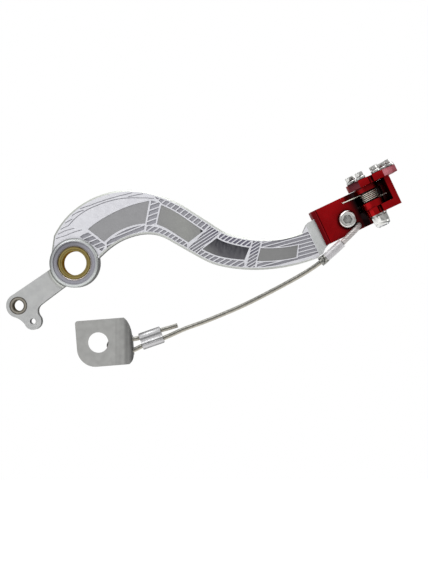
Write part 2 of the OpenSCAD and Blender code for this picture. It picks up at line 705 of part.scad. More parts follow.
module plan(low, h) {
  translate([0, 0, low]) linear_extrude(h) children();
}
module toe_top_outline() {
  edge_l = toe_edge_u - toe_edge_w / 2;
  edge_r = toe_edge_u + toe_edge_w / 2;
  out = toe_reach - pivot_out;
  difference() {
    polygon([
      [edge_l, -out], [edge_r, -out], [toe_front, -out + toe_front - edge_r],
      [toe_front, pivot_w - stop_w], [0, pivot_w - stop_w],
      [-ear_r, 0], [-toe_back, -9], [-toe_back, -out + edge_l + toe_back]
    ]);
    notch(out);
  }
}
module notch(out) {
  translate([toe_edge_u - 0.3, -out]) {
    translate([-notch_w / 2, -1]) square([notch_w, 3]);
    translate([0, 2]) circle(notch_w / 2);
  }
}
module toe_body() color(red) head() at_pivot(0) {
  wall_out = toe_wall_u + toe_wall_t;
  low_out = toe_low_reach - pivot_out;
  difference() {
    union() {
      plan(toe_top_low, toe_top_t) toe_top_outline();
      plan(toe_low, toe_top - toe_low - 1)
        translate([toe_wall_u, -low_out]) square([toe_wall_t, low_out + pivot_w - stop_w]);
      plan(toe_low, toe_low_t) difference() {
        union() {
          circle(ear_r - 0.5);
          polygon([
            [wall_out, -low_out], [wall_out, pivot_w - stop_w], [toe_wall_u - 4, pivot_w - stop_w],
            [0, 0], [-toe_low_back, 0], [-toe_low_back, -low_out + 2.5],
            [-toe_low_back + 2.5, -low_out]
          ]);
        }
        notch(low_out);
      }
    }
    translate([0, 0, toe_low - 1]) cylinder(h = toe_top - toe_low + 2, r = bolt_r);
    translate([0, 0, toe_top - bolt_r]) cylinder(h = bolt_r, r1 = bolt_r, r2 = 2 * bolt_r - 0.4);
    translate([0, 0, toe_top]) cylinder(h = 1, r = 2 * bolt_r - 0.4);
    for (p = stud_places) translate([p[0], p[1], toe_top_low - 1])
      cylinder(h = toe_top_t + 2, r = stud_shank_d / 2);
    // Blind hole for the spring's lower leg
    translate([0, coil_r - 1.2, coil_low]) rotate([0, 90, 0])
      cylinder(h = toe_wall_u + 2, r = wire_d / 2 + 0.3);
  }
}

// Stud places, from the pivot along the head and outboard
stud_in = 3.7;
stud_places = [
  [toe_edge_u - toe_edge_w / 2 + stud_in, -(toe_reach - pivot_out - stud_in - 2.5)],
  [toe_edge_u + toe_edge_w / 2 - stud_in, -(toe_reach - pivot_out - stud_in - 2.5)],
  [-toe_back + stud_in + 0.6, -15],
  [toe_front - stud_in + 0.3, -15],
  [toe_front - stud_in - 3, -1],
  [-toe_back + stud_in + 3, -4.5]
];
module stud(i) color(steel) head() at_pivot(toe_top)
  translate(stud_places[i - 1]) {
    hex_low = stud_collar_h + stud_neck_h;
    cylinder(h = stud_collar_h, r = stud_collar_d / 2);
    translate([0, 0, -toe_top_t]) cylinder(h = toe_top_t + hex_low + eps, r = stud_shank_d / 2);
    difference() {
      translate([0, 0, hex_low]) rotate(i * 25)
        cylinder(h = stud_hex_h, r = stud_af / sqrt(3), $fn = 6);
      translate([0, 0, hex_low + stud_hex_h - 0.8])
        cylinder(h = 0.8 + eps, r1 = stud_af / 5, r2 = stud_af / 2.6);
    }
  }

// Safety rope, from its cut tail through the tab's loop and up into the bracket

rope_route = [
  [78, 0, -47.3], [72, 0, -49.2], [65, 0, -51.2], [57, 0, -54], [49, 0, -56.8],
  [43.5, 0, -58], [37, 0, -58.4], [30.5, 0, -58.6], [27, 0, -60], [25.6, 0, -62.8],
  [27, 0, -65.6], [30.5, 0, -67.2], [36, 0, -67.6], [43.5, 0, -66.6], [51.2, 0, -63],
  [59.2, 0, -60.2], [67.2, 0, -57.2], [75, -0.5, -53.8], [84, -1, -49.8], [99, -2, -44.3],
  [114, -3.5, -38.2], [129, -5, -31.6], [144, -7.5, -24.1], [160, -10, -15.6],
  [175, -12.5, -7], [186, -14.8, 0.6], [194, -16.2, 7.6], [202, -17.2, 15],
  [208, -17.6, 20.9], [212.2, -17.2, 25.1], [214.2, -15.6, 27.6], [214.6, -12.8, 28.3],
  [214.6, -9, 28.3], [214.6, -4, 28.3], [214.6, 10.8, 28.3]
];
// A smooth curve through some of the route's points, in k steps from one to the next
function curve(route, k) = concat(
  [for (i = [0:len(route) - 2], j = [0:k - 1])
    smooth(route[max(i - 1, 0)], route[i], route[i + 1], route[min(i + 2, len(route) - 1)], j / k)],
  [route[len(route) - 1]]
);
// The same curve between two of the route's points, which may be halves
function rope_part(a, b) = let (line = curve(rope_route, 2)) [for (i = [2 * a:2 * b]) line[i]];
module brake_cable() color([0.6, 0.6, 0.57]) tube(curve(rope_route, 2), rope_d / 2, 8);
module clear_sleeve() color([0.85, 0.85, 0.83])
  tube(rope_part(27, 31), clear_d / 2, 10);
module crimp_sleeve() color(silver)
  tube(rope_part(25.5, 27), crimp_d / 2, 12);
module crimp_ring() color([0.35, 0.35, 0.35])
  tube(rope_part(25, 25.5), crimp_d / 2 + 0.2, 12);
module cable_stop() color(silver) head()
  front(-arm_half - stop_len, stop_len) translate(rope_hole) circle(crimp_d / 2);
module cable_ferrule() color(silver) {
  run = rope_route[2] - rope_route[4];
  mid = (rope_route[3] + rope_route[15]) / 2;
  turn = atan2(run[2], run[0]);
  translate(mid) rotate([0, -turn, 0]) rotate([0, 90, 0])
    translate([0, 0, -ferrule_len / 2]) linear_extrude(ferrule_len) {
      translate([ferrule_d / 2, 0]) circle(ferrule_d / 2);
      translate([-ferrule_d / 2, 0]) circle(ferrule_d / 2);
      square([ferrule_d, ferrule_d * 0.62], center = true);
    }
}

// Frame tab: one bent sheet, with the rope's loop through two holes in its flange
tab_hole_at = [18.1, -60.2];
tab_face_w = 8;
loop_at = [rope_route[5][2], rope_route[13][2]];
tab_back = -16.4;
tab_top = tab_h / 2 - 0.4;
tab_low = tab_top - tab_h;
tab_corner = 14;
module tab_profile() {
  bend_at = [tab_back + tab_w - tab_bend_r, tab_bend_r - tab_face_w];
  translate([tab_back, -tab_face_w]) square([tab_w - tab_bend_r + eps, tab_t]);
  translate([tab_back + tab_w - tab_t, bend_at[1] - eps])
    square([tab_t, tab_flange - tab_bend_r]);
  translate(bend_at) intersection() {
    ring(tab_bend_r, tab_bend_r - tab_t);
    translate([0, -tab_bend_r]) square(tab_bend_r);
  }
}
module tab_outline() {
  translate([tab_back, tab_low + tab_corner]) square([tab_w + 1, tab_h - tab_corner - 2]);
  translate([tab_back + 2, tab_low + tab_corner]) square([tab_w, tab_h - tab_corner]);
  translate([tab_back + tab_corner, tab_low]) square([tab_w, tab_h]);
  translate([tab_back + tab_corner, tab_low + tab_corner]) circle(tab_corner);
  translate([tab_back + 2, tab_top - 2]) circle(2);
}
// The flange's height, cut back above and below where the sheet bends
module tab_side() {
  bend_end = tab_bend_r - tab_face_w;
  polygon([
    [-tab_face_w - 1, tab_low], [-tab_face_w - 1, tab_top], [-tab_face_w + 0.6, tab_top],
    [bend_end, tab_top - 14], [bend_end + tab_flange, tab_top - 15],
    [bend_end + tab_flange, tab_low + 7], [bend_end, tab_low + 6],
    [-tab_face_w + 1.5, tab_low]
  ]);
}
module frame_tab() color([0.68, 0.68, 0.67]) difference() {
  translate([tab_hole_at[0], 0, tab_hole_at[1]]) rotate([0, -tab_turn, 0]) difference() {
    intersection() {
      translate([0, 0, -tab_h]) linear_extrude(2 * tab_h) tab_profile();
      front(-tab_h, 2 * tab_h) tab_outline();
      rotate([90, 0, 90]) translate([0, 0, -tab_w]) linear_extrude(2 * tab_w) tab_side();
    }
    front(-tab_h, 2 * tab_h) circle(tab_hole_d / 2);
  }
  for (z = loop_at) translate([30, 0, z]) rotate([0, 90, 0])
    cylinder(h = 30, r = rope_d / 2 + 0.5);
}

lever_arm();
pivot_bush();
clevis_bush();
head_bracket();
bracket_screw();
spring_sleeve();
torsion_spring();
toe_body();
toe_bolt();
bolt_washer();
lock_nut();
nut_insert();
brake_cable();
cable_stop();
clear_sleeve();
crimp_sleeve();
crimp_ring();
cable_ferrule();
frame_tab();
for (i = [1:stud_count])
  stud(i);
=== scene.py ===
import json
import math
import bmesh
import bpy
from mathutils import Matrix, Vector


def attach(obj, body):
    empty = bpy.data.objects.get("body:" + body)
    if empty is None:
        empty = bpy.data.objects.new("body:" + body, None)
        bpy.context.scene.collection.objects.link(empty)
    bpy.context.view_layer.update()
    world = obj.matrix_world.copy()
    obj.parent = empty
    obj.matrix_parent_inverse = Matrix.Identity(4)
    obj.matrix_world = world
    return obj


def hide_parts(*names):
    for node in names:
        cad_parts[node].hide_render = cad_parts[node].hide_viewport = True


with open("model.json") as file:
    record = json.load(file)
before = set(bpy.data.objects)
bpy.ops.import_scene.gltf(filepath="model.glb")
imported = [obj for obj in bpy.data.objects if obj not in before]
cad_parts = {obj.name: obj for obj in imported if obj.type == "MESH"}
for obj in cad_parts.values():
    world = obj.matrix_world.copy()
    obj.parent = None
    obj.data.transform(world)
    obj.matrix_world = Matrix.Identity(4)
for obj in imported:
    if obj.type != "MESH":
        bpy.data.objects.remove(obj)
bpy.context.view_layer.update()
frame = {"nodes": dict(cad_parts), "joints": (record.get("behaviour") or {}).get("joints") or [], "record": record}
nodes = frame["nodes"]
bodies = frame["record"]["behaviour"]["bodies"]
body_of = {node: body for body, members in bodies.items() for node in members}

# Sizes are in millimetres, and MM takes them to Blender's metres
MM = 0.001
STUDS = ["stud_%d" % i for i in range(1, 7)]


# The camera: level, straight onto the outboard side
camera = bpy.data.objects.new("camera", bpy.data.cameras.new("camera"))
bpy.context.collection.objects.link(camera)
camera.data.sensor_fit = "HORIZONTAL"
camera.data.sensor_width = 36
camera.data.lens = 110.2
camera.location = (0.10583, -1.0, -0.01697)
camera.rotation_euler = (math.radians(90), 0, 0)
bpy.context.scene.camera = camera
bpy.context.scene.view_settings.view_transform = "Standard"


# The folding head's own axes: along it, outboard and up
tilt = math.radians(25.3)
along = Vector((math.cos(tilt), 0, math.sin(tilt)))
out = Vector((0, -1, 0))
up = Vector((-math.sin(tilt), 0, math.cos(tilt)))
head_axes = (along, out, up)


# The rope's route, the same as its solid's: round the loop in the tab, then up to the bracket
ROUTE = [
    (78, 0, -47.3), (72, 0, -49.2), (65, 0, -51.2), (57, 0, -54), (49, 0, -56.8),
    (43.5, 0, -58), (37, 0, -58.4), (30.5, 0, -58.6), (27, 0, -60), (25.6, 0, -62.8),
    (27, 0, -65.6), (30.5, 0, -67.2), (36, 0, -67.6), (43.5, 0, -66.6), (51.2, 0, -63),
    (59.2, 0, -60.2), (67.2, 0, -57.2), (75, -0.5, -53.8), (84, -1, -49.8), (99, -2, -44.3),
    (114, -3.5, -38.2), (129, -5, -31.6), (144, -7.5, -24.1), (160, -10, -15.6),
    (175, -12.5, -7), (186, -14.8, 0.6), (194, -16.2, 7.6), (202, -17.2, 15),
    (208, -17.6, 20.9), (212.2, -17.2, 25.1), (214.2, -15.6, 27.6), (214.6, -12.8, 28.3),
    (214.6, -9, 28.3), (214.6, -4, 28.3), (214.6, 10.8, 28.3),
]
route = [Vector(p) / 1000 for p in ROUTE]

# The ferrule holds the tail and the loop's return side by side
ferrule_run = route[2] - route[4]
ferrule_way = Vector((ferrule_run.x, 0, ferrule_run.z)).normalized()
ferrule_across = Vector((-ferrule_way.z, 0, ferrule_way.x))
ferrule_at = (route[3] + route[15]) / 2
BARREL_R = 3.25


# Node materials
class Net:
    """A node tree, with short calls for the nodes that are used here."""

    def __init__(self, owner):
        owner.use_nodes = True
        self.tree = owner.node_tree

    def put(self, target, value):
        """Links a socket to an input, or sets the input's own value."""
        if isinstance(value, bpy.types.NodeSocket):
            self.tree.links.new(value, target)
        elif value is not None:
            if hasattr(target.default_value, "__len__") and len(value) == 3 and len(target.default_value) == 4:
                value = (*value, 1)
            target.default_value = value

    def node(self, kind, out=0, settings=None, **inputs):
        """Adds a node and gives one of its outputs. i0 stands for the first input, and so on."""
        n = self.tree.nodes.new(kind)
        for key, value in (settings or {}).items():
            setattr(n, key, value)
        for key, value in inputs.items():
            self.put(n.inputs[int(key[1:])] if key[0] == "i" and key[1:].isdigit() else n.inputs[key], value)
        return n.outputs[out]

    # Places and directions
    def point(self):
        return self.node("ShaderNodeTexCoord", "Object")

    def normal(self):
        return self.node("ShaderNodeTexCoord", "Normal")

    def toward(self, vector, direction):
        """How far a vector reaches along a direction."""
        return self.node("ShaderNodeVectorMath", "Value", {"operation": "DOT_PRODUCT"}, i0=vector, i1=tuple(direction))

    def reach(self, direction):
        """How far the point lies along a direction, in millimetres."""
        return self.math("MULTIPLY", self.toward(self.point(), direction), 1000)

    def axis(self, which):
        """The point's X, Y or Z, in millimetres."""
        return self.math("MULTIPLY", self.node("ShaderNodeSeparateXYZ", which, i0=self.point()), 1000)

    def facing(self, which):
        """The normal's X, Y or Z."""
        return self.node("ShaderNodeSeparateXYZ", which, i0=self.normal())

    def radius(self, middle):
        """The distance from an axis along Y, in millimetres."""
        dx, dz = (self.math("SUBTRACT", self.axis(k), m) for k, m in zip((0, 2), middle))
        return self.math("SQRT", self.math("ADD", self.times(dx, dx), self.times(dz, dz)))

    # Sums and masks
    def math(self, what, a, b=0.0):
        return self.node("ShaderNodeMath", settings={"operation": what}, i0=a, i1=b)

    def times(self, first, *others):
        for other in others:
            first = self.math("MULTIPLY", first, other)
        return first

    def absolute(self, value):
        return self.math("ABSOLUTE", value)

    def above(self, value, low):
        return self.math("GREATER_THAN", value, low)

    def below(self, value, high):
        return self.math("LESS_THAN", value, high)

    def between(self, value, low, high):
        return self.times(self.above(value, low), self.below(value, high))

    def fit(self, value, a, b, c=0.0, d=1.0):
        """Takes a to b over to c to d."""
        return self.node("ShaderNodeMapRange", i0=value, i1=a, i2=b, i3=c, i4=d)

    # Colours
    def mix(self, amount, a, b, how="MIX"):
        settings = {"data_type": "RGBA", "blend_type": how}
        return self.node("ShaderNodeMix", 2, settings, i0=amount, i6=a, i7=b)

    def multiply(self, a, b):
        return self.mix(1.0, a, b, "MULTIPLY")

    def ramp(self, value, stops):
        n = self.tree.nodes.new("ShaderNodeValToRGB")
        while len(n.color_ramp.elements) < len(stops):
            n.color_ramp.elements.new(0.5)
        for element, (place, colour) in zip(n.color_ramp.elements, stops):
            element.position = place
            element.color = (*colour, 1)
        self.put(n.inputs[0], value)
        return n.outputs[0]

    # Grain and shade
    def noise(self, scale, detail, vector=None):
        return self.node("ShaderNodeTexNoise", "Fac", Vector=vector or self.point(), Scale=scale, Detail=detail)

    def stretch(self, sizes, turn=(0, 0, 0)):
        return self.node("ShaderNodeMapping", i0=self.point(), i2=turn, i3=sizes)

    def grain(self, scale, low=0.0, high=1.0, detail=4):
        """Noise that runs from low to high."""
        return self.fit(self.noise(scale, detail), 0.3, 0.7, low, high)

    def cloud(self, scale, a, b, detail=4):
        """Noise between two colours."""
        return self.mix(self.grain(scale, detail=detail), a, b)

    def bump(self, height, depth, strength, normal=None):
        """A bump of a depth in millimetres."""
        given = {"Strength": strength, "Distance": depth * MM, "Height": height, "Normal": normal}
        return self.node("ShaderNodeBump", "Normal", **given)

    def tooth(self, scale, depth, detail=2):
        """The fine tooth of a finish."""
        return self.bump(self.noise(scale, detail), depth, 0.3)

    def shade_hollows(self, colour, dark, reach, low, high):
        """Painted shade: darkens a colour deep in corners and recesses, within a reach in millimetres."""
        open_air = self.node("ShaderNodeAmbientOcclusion", "AO", {"samples": 8}, Distance=reach * MM)
        return self.mix(self.fit(open_air, low, high), dark, colour)

    # Shaders
    def blend(self, amount, a, b):
        return self.node("ShaderNodeMixShader", i0=amount, i1=a, i2=b)

    def sight(self):
        """1 for what the camera, gloss and glass see, and 1 for what the camera alone sees."""
        n = self.tree.nodes.new("ShaderNodeLightPath")
        camera_ray, gloss, glass = (n.outputs["Is %s Ray" % kind] for kind in ("Camera", "Glossy", "Transmission"))
        return self.math("MAXIMUM", self.math("MAXIMUM", camera_ray, gloss), glass), camera_ray


class Paint(Net):
    """A material."""

    def __init__(self, name):
        self.material = bpy.data.materials.new(name)
        super().__init__(self.material)
        self.shader = self.tree.nodes["Principled BSDF"]

    def finish(self, colour, rough, metal, normal=None, **more):
        self.put(self.shader.inputs["Base Color"], colour)
        self.put(self.shader.inputs["Roughness"], rough)
        self.put(self.shader.inputs["Metallic"], metal)
        if normal is not None:
            self.put(self.shader.inputs["Normal"], normal)
        for key, value in more.items():
            self.put(self.shader.inputs[key.replace("_", " ")], value)
        return self.material


def srgb(*values):
    """A colour given in 0 to 255, as the linear values that Blender works with. One value is a grey."""
    lin = [v / 255 / 12.92 if v < 10.3 else ((v / 255 + 0.055) / 1.055) ** 2.4 for v in values]
    return tuple(lin) if len(lin) == 3 else (lin[0],) * 3


def stops(*rows):
    """A ramp's stops, from rows of a place and a colour in 0 to 255."""
    return [(place, srgb(*colour)) for place, *colour in rows]


def levels(*rows):
    """A ramp's stops, from rows of a place and a plain value."""
    return [(place, (value,) * 3) for place, value in rows]


# The arm's heights over its middle plane. The face is the front of the arm, and the boss stands past it
ARM_FACE, PANEL_FLOOR, GROOVE_FLOOR = (-7.45, -6.1), (-7.12, -6.9), (-6.88, -6.7)
BOSS_R, BOSS_FOOT, RELIEF_R = 18.75, 7.4, 18.9
LUG_EDGE, LUG_HALF = -12, 7.2
PAD_U = 170.8


def relief_floors(p, x, y, z):
    """The colours of the arm's sunk floors: panels, fields between the ribs, and grooves."""
    run = p.fit(x, 0, 200)
    panel = p.ramp(run, stops(
        (0.05, 164, 164, 166), (0.27, 165, 165, 167), (0.325, 157), (0.42, 164, 165, 162), (0.48, 152),
        (0.72, 148), (0.78, 148), (0.9, 140),
    ))
    # The third panel is nearly black, streaked, and paler in its lower left corner
    corner_x, corner_rise, slope = 97.4, 25.5, 0.15
    rise = p.math("ADD", p.times(x, slope), z)
    inward = p.math("ADD", p.math("SUBTRACT", x, corner_x), p.math("SUBTRACT", rise, corner_rise))
    streak = p.noise(1, 5, p.stretch((420, 1, 160)))
    black = p.mix(p.fit(rise, 22, 33), srgb(104, 103, 108), srgb(62, 62, 68))
    black = p.mix(p.fit(streak, 0.42, 0.7, 0, 0.7), black, srgb(112, 112, 115))
    black = p.mix(p.fit(inward, 0, 13), srgb(132), black)
    panel = p.mix(p.between(x, 95.5, 139.5), panel, black)
    # The field floors are darkest above the third panel, and as pale as the others below it
    floor = p.ramp(run, stops(
        (0.0, 164, 164, 171), (0.3, 172, 172, 179), (0.47, 176, 175, 182), (0.54, 142, 138, 157),
        (0.66, 134, 130, 150), (0.72, 164, 164, 172), (0.85, 174, 173, 181), (1.0, 188, 188, 194),
    ))
    under_panel = p.times(p.below(rise, 27.5), p.between(x, 85, 150))
    floor = p.mix(under_panel, floor, srgb(172, 171, 179))
    floor = p.mix(p.between(y, *PANEL_FLOOR), floor, panel)
    return p.mix(p.between(y, *GROOVE_FLOOR), floor, srgb(206, 206, 213))


def turned_boss(p, r, x, z):
    """The boss: a pale rounded rim, a grey turned step and a chamfer round the bush, with painted light and shade laid
    over them.
    """
    lower = p.math("DIVIDE", p.math("SUBTRACT", p.times(x, 0.56), p.times(z, 0.83)), r)
    # Painted highlight on the chamfer's lower side, painted shade on its upper side
    chamfer = p.mix(p.fit(lower, -0.5, 0.5), srgb(118, 108, 100), srgb(244, 236, 232))
    # The step's grey and the rim's pale tone, which is partly a painted highlight on the rounded rim, with painted
    # shade next to the bush and at the rim's outer edge
    turned = p.ramp(p.fit(r, 12, 20), stops(
        (0.16, 140, 138, 144), (0.24, 160, 159, 168), (0.44, 170, 170, 178),
        (0.50, 160, 160, 168), (0.56, 196, 198, 200), (0.70, 200, 204, 202), (0.82, 176, 180, 178),
    ))
    # Painted shade over the upper side of the step and rim
    turned = p.mix(p.fit(lower, -0.2, -1.0, 0, 0.5), turned, srgb(112, 112, 116))
    return p.mix(p.between(r, 12.3, 13.0), turned, chamfer)


def arm_paint():
    """Bead-blasted silver: bright machined faces and grey floors in the relief, with painted shade on the walls, in
    corners and grooves, and on the lug beside the boss.
    """
    p = Paint("arm_alloy")
    x, y, z = (p.axis(k) for k in (0, 1, 2))
    r = p.radius((0, 0))
    skin = p.cloud(150, srgb(229, 229, 235), srgb(237, 237, 242))
    # The plain pad at the head
    pad = p.above(p.reach(along), PAD_U)
    skin = p.mix(pad, skin, p.cloud(150, srgb(206, 209, 208), srgb(216, 218, 218)))
    # Painted shade on the lug, darkest beside the boss; the rest of the lug is greyer than the face
    lug = p.times(p.below(p.math("ADD", x, z), LUG_EDGE), p.below(p.absolute(y), LUG_HALF))
    blasted = p.cloud(150, srgb(190, 191, 191), srgb(200, 201, 200))
    skin = p.mix(lug, skin, p.mix(p.fit(r, 19.2, 22.5), srgb(122, 123, 114), blasted))
    boss = p.times(p.below(r, BOSS_R), p.above(p.absolute(y), BOSS_FOOT))
    skin = p.mix(boss, skin, turned_boss(p, r, x, z))
    cut = p.times(p.between(y, *ARM_FACE), p.above(r, RELIEF_R), p.below(p.facing(1), -0.9))
    colour = p.mix(cut, skin, relief_floors(p, x, y, z))
    # Painted shade on the walls: pale on walls that face up and left, darker on walls that face down and right
    shade = p.fit(p.toward(p.normal(), (0.75, 0, -0.66)), -1, 1)
    wall = p.ramp(shade, stops((0.0, 190, 192, 190), (0.4, 168), (0.75, 138, 138, 136), (1.0, 126, 126, 123)))
    # The chamfers along the arm's edges: a greenish grey, with painted shade a little darker where they face down and
    # right
    square = p.absolute(p.facing(1))
    bevel = p.times(p.below(square, 0.9), p.above(r, 19.3))
    colour = p.mix(bevel, colour, p.mix(p.fit(shade, 0.1, 0.8), srgb(194, 197, 191), srgb(184, 186, 182)))
    colour = p.mix(p.fit(square, 0.15, 0.6), wall, colour)
    # Painted shade in the relief's corners and grooves, lighter in the thin grooves on the shoulder than in the
    # fields' corners
    shoulder_x, shoulder_z = 75, 19
    shoulder = p.times(p.below(x, shoulder_x), p.above(z, shoulder_z))
    colour = p.shade_hollows(colour, p.mix(shoulder, srgb(92, 90, 98), srgb(170, 169, 177)), 5, 0.0, 0.72)
    dish = p.times(boss, p.math("POWER", p.fit(r, 16.4, 18.7), 2))
    normal = p.bump(dish, -1.4, 1.0, p.tooth(5200, 0.02))
    return p.finish(colour, p.grain(260, 0.36, 0.46, 5), 0.75, normal, Specular_Tint=(0.3, 0.3, 0.31, 1))


def turned_bush(name, middle, bore, edge, rings, haze, wall, grazing):
    """A turned bush: rings cut round its bore, and a plain wall inside. The ring colours passed in carry painted
    shadow at the outer edge.
    """
    p = Paint(name)
    r = p.radius(middle)
    colour = p.ramp(p.fit(r, bore, edge), rings)
    colour = p.mix(p.fit(p.noise(420, 4), 0.35, 0.75, 0.0, 0.3), colour, haze)
    face = p.fit(p.absolute(p.facing(1)), 0.2, 0.6)
    colour = p.mix(face, p.cloud(300, wall, tuple(v * 0.7 for v in wall)), colour)
    ridges = p.bump(p.math("SINE", p.times(r, 21)), 0.03, 0.25)
    return p.finish(colour, p.fit(face, 0, 1, 0.6, 0.32), 1.0, ridges, Specular_Tint=grazing)


def red_paint():
    """Deep red anodising, with painted shade near black in the hollow beside the spring and in corners, and painted
    reflections on the toe's end facets.
    """
    p = Paint("red_alloy")
    # Places on the head, from the boss: u along it, v up it and y in depth
    u, y, v = p.reach(along), p.axis(1), p.reach(up)
    plate_low, plate_front = -42.5, -12.8
    front_u, front_v, front_y = 213.5, (-69.3, -41.75), (-13.5, -4)
    strip_u, strip_v = (205, 229), (-46.5, -41.75)
    inside_u, inside_v, inside_back = (221, 236.6), (-58.85, -41.9), 3
    ledge_end = 182.6
    colour = p.cloud(120, srgb(140, 4, 10), srgb(156, 8, 14))
    # Painted reflections on the toe's end facets: pale on the right, dull on the left
    end = p.toward(p.normal(), along)
    plate = p.above(v, plate_low)
    pale, dull = (srgb(106, 58, 62), srgb(124, 76, 82)), (srgb(76, 26, 32), srgb(92, 42, 48))
    for (low, high), tones in (((0.5, 0.9), pale), ((-0.9, -0.5), dull)):
        colour = p.mix(p.times(plate, p.between(end, low, high)), colour, p.cloud(160, *tones))
    # Painted shade on the bracket's front, darkening towards the jaws, and on the strip under the plate
    front = p.math("MAXIMUM", p.above(y, front_y[0]), p.below(u, front_u))
    front = p.times(front, p.below(y, front_y[1]), p.between(v, *front_v))
    dark = p.ramp(p.fit(u, 200, 222), levels((0.0, 0), (0.22, 0.12), (0.4, 0.8), (0.5, 1), (0.68, 1), (0.84, 0.1)))
    colour = p.mix(p.times(dark, front), colour, srgb(12, 0, 1))
    strip = p.times(p.between(v, *strip_v), p.between(u, *strip_u), front, 0.62)
    colour = p.mix(strip, colour, srgb(30, 2, 5))
    # Painted shade, near black, deep inside the jaws
    inside = p.times(p.between(u, *inside_u), p.between(v, *inside_v), p.between(y, plate_front, inside_back))
    colour = p.mix(inside, colour, srgb(10, 1, 2))
    # The ledge at the arm's end
    colour = p.mix(p.times(p.below(u, ledge_end), p.above(y, plate_front)), colour, srgb(112, 6, 14))
    # Painted shade in corners and recesses, within 12 mm
    colour = p.shade_hollows(colour, srgb(16, 1, 3), 12, 0.2, 0.82)
    return p.finish(
        colour, p.grain(500, 0.26, 0.34), 1.0, p.tooth(3500, 0.01),
        Coat_Weight=0.1, Coat_Roughness=0.12, Specular_Tint=(0.5, 0.1, 0.11, 1),
    )


def rope_coat():
    """Clear coat over strands, with painted light and shade by the way the surface faces: pale on the upper and lower
    sides, dark along the middle; painted shade in corners and recesses.
    """
    p = Paint("rope_coated")
    side = p.fit(p.math("ADD", p.facing(2), p.grain(700, -0.12, 0.12, 3)), -1, 1)
    colour = p.ramp(side, stops(
        (0.0, 168, 163, 150), (0.22, 178, 173, 160), (0.4, 122, 119, 110), (0.55, 84, 83, 78),
        (0.7, 104, 103, 98), (0.86, 180, 178, 170),
    ))
    colour = p.shade_hollows(colour, srgb(44, 43, 40), 3, 0.2, 0.85)
    return p.finish(
        colour, p.grain(500, 0.34, 0.44), 0.5, p.tooth(1200, 0.03, 3), Coat_Weight=0.3, Coat_Roughness=0.2,
    )


def sleeve_coat():
    """The clear sleeve: milky, with long streaks along it, and painted shade in corners and recesses."""
    p = Paint("sleeve_clear")
    dark = srgb(156, 150, 148)
    streaks = p.noise(1, 4, p.stretch((90, 90, 1400), (0, math.radians(41), 0)))
    colour = p.mix(p.fit(streaks, 0.36, 0.62), dark, srgb(208, 203, 201))
    colour = p.shade_hollows(colour, tuple(v * 0.25 for v in dark), 4, 0.15, 0.85)
    return p.finish(
        colour, p.grain(500, 0.38, 0.5), 0.3, p.bump(streaks, 0.04, 0.4),
        Coat_Weight=0.03, Specular_Tint=(0.45, 0.44, 0.44, 1),
    )


def ferrule_metal():
    """The ferrule's metal: painted highlights on the lands, painted shade along the pressed lines between them and at
    the sides, and painted shade in corners and recesses.
    """
    p = Paint("crimp_alloy")
    middle = ferrule_at.dot(ferrule_across) / MM
    # Painted highlights and painted shade in stripes across the ferrule's width
    lands = p.ramp(p.fit(p.reach(ferrule_across), middle + 2 * BARREL_R, middle - 2 * BARREL_R), stops(
        (0.0, 120), (0.05, 138), (0.12, 196, 196, 197), (0.27, 204, 204, 205), (0.32, 116), (0.40, 126),
        (0.46, 196, 195, 196), (0.60, 214, 214, 215), (0.65, 114), (0.74, 124), (0.79, 198, 197, 198),
        (0.90, 194, 193, 194), (0.96, 126), (1.0, 110),
    ))
    colour = p.mix(p.grain(700, 0, 0.25), lands, srgb(176, 175, 179))
    colour = p.shade_hollows(colour, srgb(60, 60, 62), 3, 0.1, 0.8)
    return p.finish(colour, p.grain(500, 0.4, 0.5), 0.7, p.tooth(2400, 0.02), Specular_Tint=(0.5, 0.5, 0.5, 1))


def tab_sheet():
    """Plated sheet, with painted shade in bands that darken round its bend, and in corners and recesses."""
    p = Paint("tab_steel")
    bend_shade = p.ramp(p.fit(p.axis(0), 28, 44), stops(
        (0.0, 255), (0.16, 255), (0.22, 240), (0.32, 248), (0.41, 240), (0.58, 247), (0.67, 222),
        (0.73, 214), (0.81, 234), (0.91, 212), (1.0, 170),
    ))
    colour = p.multiply(p.cloud(220, srgb(164, 164, 162), srgb(176, 176, 174), 5), bend_shade)
    colour = p.shade_hollows(colour, srgb(56, 56, 54), 8, 0.25, 0.9)
    return p.finish(colour, p.grain(500, 0.42, 0.52), 0.8, p.tooth(2600, 0.02))


def metal(name, low, high, rough, hollow, reach, shade=(0.2, 0.85), drift=300, metallic=1.0):
    """A fine-grained metal with a little colour drift, and painted shade in corners and recesses."""
    p = Paint(name)
    colour = p.mix(p.fit(p.noise(drift, 4), 0.4, 0.6), low, high)
    colour = p.shade_hollows(colour, hollow, reach, *shade)
    return p.finish(colour, p.grain(500, *rough), metallic, p.tooth(3500, 0.01))


red = red_paint()
# The darkest stops at each bush's outer edge are painted shadow in the gap round it, where it sits in its bore
bronze = turned_bush(
    "bush_bronze", (0, 0), 9.0, 12.5, stops(
        (0.0, 112, 92, 42), (0.10, 138, 120, 66), (0.34, 152, 134, 80), (0.40, 86, 74, 38), (0.46, 92, 80, 42),
        (0.52, 158, 140, 86), (0.78, 150, 132, 76), (0.85, 78, 68, 38), (1.0, 66, 58, 36),
    ),
    haze=srgb(168, 158, 112), wall=srgb(150, 118, 52), grazing=(0.5, 0.36, 0.15, 1),
)
bush_steel = turned_bush(
    "bush_steel", (-42.8, -32.3), 4.1, 6.8, stops(
        (0.0, 66, 63, 58), (0.18, 92, 88, 80), (0.34, 150, 145, 134), (0.62, 156, 150, 140),
        (0.78, 84, 80, 74), (1.0, 58, 56, 52),
    ),
    haze=srgb(170, 166, 156), wall=srgb(128, 122, 108), grazing=(0.26, 0.24, 0.2, 1),
)
bright = metal("screw_steel", srgb(190, 190, 187), srgb(210, 210, 207), (0.2, 0.3), srgb(40, 38, 36), 7, (0.22, 0.84))
